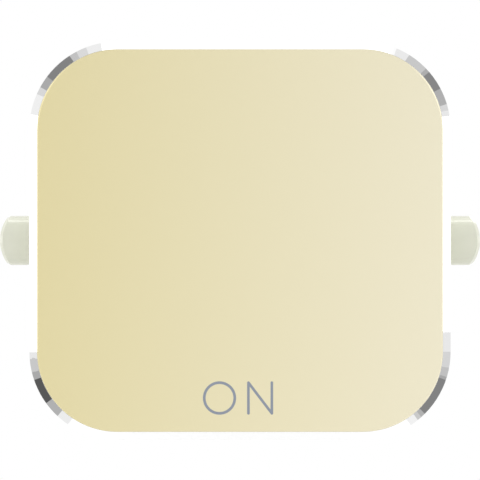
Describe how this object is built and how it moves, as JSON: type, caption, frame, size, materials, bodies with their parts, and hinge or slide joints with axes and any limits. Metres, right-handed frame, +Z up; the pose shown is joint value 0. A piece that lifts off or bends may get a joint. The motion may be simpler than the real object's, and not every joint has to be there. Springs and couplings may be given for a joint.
{
  "type": "cooker switch",
  "caption": "Wide rocker key with rounded corners, a champagne metal face and a bright bevelled rim, snapped into a moulded double-pole switch body with screw terminals at the back.",
  "frame": {"origin": "middle of the flange's rear face, which seats on the mounting yoke, level with the trunnions", "axes": "+X right seen from the front, +Y back into the wall box, +Z up, so the key faces -Y"},
  "size_m": [0.0412, 0.0374, 0.034],
  "materials": {
    "face_metal": "satin champagne anodised sheet",
    "bright_metal": "polished, mirror bright",
    "film": "thin adhesive film",
    "ivory_moulding": "moulded, smooth, off-white",
    "nylon": "natural moulded nylon",
    "spring_steel": "drawn wire",
    "copper_alloy": "stamped copper strip",
    "silver_alloy": "silver-alloy contact faces",
    "terminal_brass": "extruded and drilled brass",
    "screw_brass": "turned brass, slotted",
    "white_moulding": "fine-textured moulding, off-white",
    "dark_moulding": "fine-textured thermoset moulding, charcoal",
    "screw_steel": "zinc-plated"
  },
  "bodies": {
    "frame": {"front_housing": "white_moulding", "arc_chamber": "dark_moulding", "base": "dark_moulding", "case_screw_lower": "screw_steel", "case_screw_upper": "screw_steel", "terminal_line_left": "terminal_brass", "terminal_load_left": "terminal_brass", "fulcrum_strap_left": "copper_alloy", "load_strap_left": "copper_alloy", "fixed_tip_left": "silver_alloy", "terminal_line_right": "terminal_brass", "terminal_load_right": "terminal_brass", "fulcrum_strap_right": "copper_alloy", "load_strap_right": "copper_alloy", "fixed_tip_right": "silver_alloy"},
    "key": {"face_plate": "face_metal", "bonding_film": "film", "bright_trim": "bright_metal", "rocker": "ivory_moulding", "plunger_spring_left": "spring_steel", "plunger_spring_right": "spring_steel"},
    "plunger_left": {"plunger_left": "nylon"},
    "contact_left": {"contact_arm_left": "copper_alloy", "moving_tip_left": "silver_alloy"},
    "screw_line_left": {"terminal_screw_line_left": "screw_brass"},
    "screw_load_left": {"terminal_screw_load_left": "screw_brass"},
    "plunger_right": {"plunger_right": "nylon"},
    "contact_right": {"contact_arm_right": "copper_alloy", "moving_tip_right": "silver_alloy"},
    "screw_line_right": {"terminal_screw_line_right": "screw_brass"},
    "screw_load_right": {"terminal_screw_load_right": "screw_brass"}
  },
  "joints": [
    {"name": "rocker_tilt", "type": "hinge", "parent": "frame", "child": "key", "pos_m": [0, -0.0054, 0], "axis": [-1, 0, 0], "range_deg": [0, 10]},
    {"name": "plunger_press_left", "type": "slide", "parent": "key", "child": "plunger_left", "axis": [0, -0.9962, -0.0872], "range_m": [0, 0.001], "stiffness_N_per_m": 900, "springref_m": -0.002, "deforming": ["plunger_spring_left"]},
    {"name": "plunger_press_right", "type": "slide", "parent": "key", "child": "plunger_right", "axis": [0, -0.9962, -0.0872], "range_m": [0, 0.001], "stiffness_N_per_m": 900, "springref_m": -0.002, "deforming": ["plunger_spring_right"]},
    {"name": "contact_swing_left", "type": "hinge", "parent": "frame", "child": "contact_left", "pos_m": [-0.0066, 0.0078, 0], "axis": [1, 0, 0], "range_deg": [0, 18]},
    {"name": "contact_swing_right", "type": "hinge", "parent": "frame", "child": "contact_right", "pos_m": [0.0066, 0.0078, 0], "axis": [1, 0, 0], "range_deg": [0, 18]},
    {"name": "clamp_line_left", "type": "slide", "parent": "frame", "child": "screw_line_left", "axis": [0, -1, 0], "range_m": [0, 0.0035]},
    {"name": "clamp_load_left", "type": "slide", "parent": "frame", "child": "screw_load_left", "axis": [0, -1, 0], "range_m": [0, 0.0035]},
    {"name": "clamp_line_right", "type": "slide", "parent": "frame", "child": "screw_line_right", "axis": [0, -1, 0], "range_m": [0, 0.0035]},
    {"name": "clamp_load_right", "type": "slide", "parent": "frame", "child": "screw_load_right", "axis": [0, -1, 0], "range_m": [0, 0.0035]}
  ],
  "couplings": [
    {"joint": "contact_swing_left", "follows": "rocker_tilt", "ratio": 1.8},
    {"joint": "contact_swing_right", "follows": "rocker_tilt", "ratio": 1.8}
  ]
}
